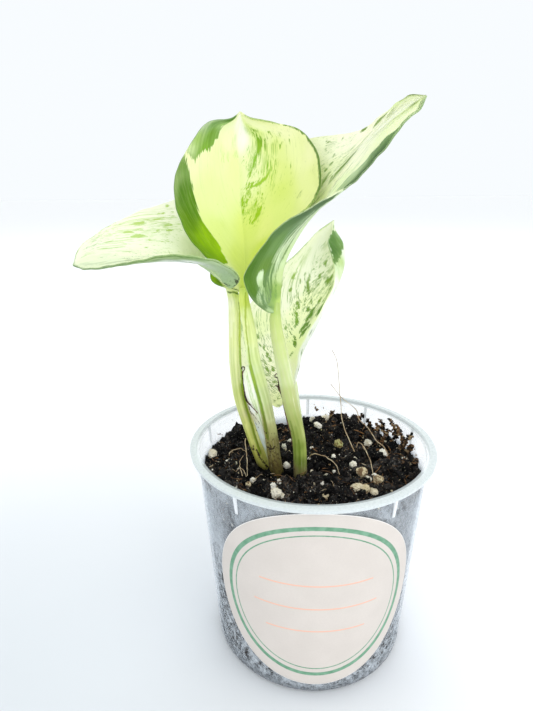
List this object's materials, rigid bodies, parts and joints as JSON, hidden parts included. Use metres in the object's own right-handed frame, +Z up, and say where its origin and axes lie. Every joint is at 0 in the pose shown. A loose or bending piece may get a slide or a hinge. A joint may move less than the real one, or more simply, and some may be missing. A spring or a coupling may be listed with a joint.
{
  "type": "potted variegated pothos",
  "caption": "Young variegated pothos in a small clear nursery pot: broad green and cream leaves, some folded, on upright stalks in dark potting mix.",
  "frame": {"origin": "centre of the pot's flat underside", "axes": "+Z up, -Y towards the side that carries the label"},
  "size_m": [0.0905, 0.065, 0.1411],
  "materials": {
    "clear_plastic": "clear, slightly cloudy polypropylene with condensation inside",
    "label_paper": "smooth matt sticker paper",
    "potting_mix": "dry, crumbly, with white and tan perlite",
    "cutting_bark": "green stem with pale roots",
    "stalk_skin": "smooth, pale lime green, faintly grooved",
    "leaf_blade": "satin leaf, cream and lime with green sectors and flecks"
  },
  "bodies": {
    "root": {"pot": "clear_plastic", "label": "label_paper", "soil": "potting_mix", "rooted_cutting": "cutting_bark", "petiole_center": "stalk_skin", "petiole_left": "stalk_skin", "petiole_right": "stalk_skin", "petiole_back": "stalk_skin", "leaf_center": "leaf_blade", "leaf_left": "leaf_blade", "leaf_right": "leaf_blade", "leaf_back": "leaf_blade"}
  },
  "joints": []
}
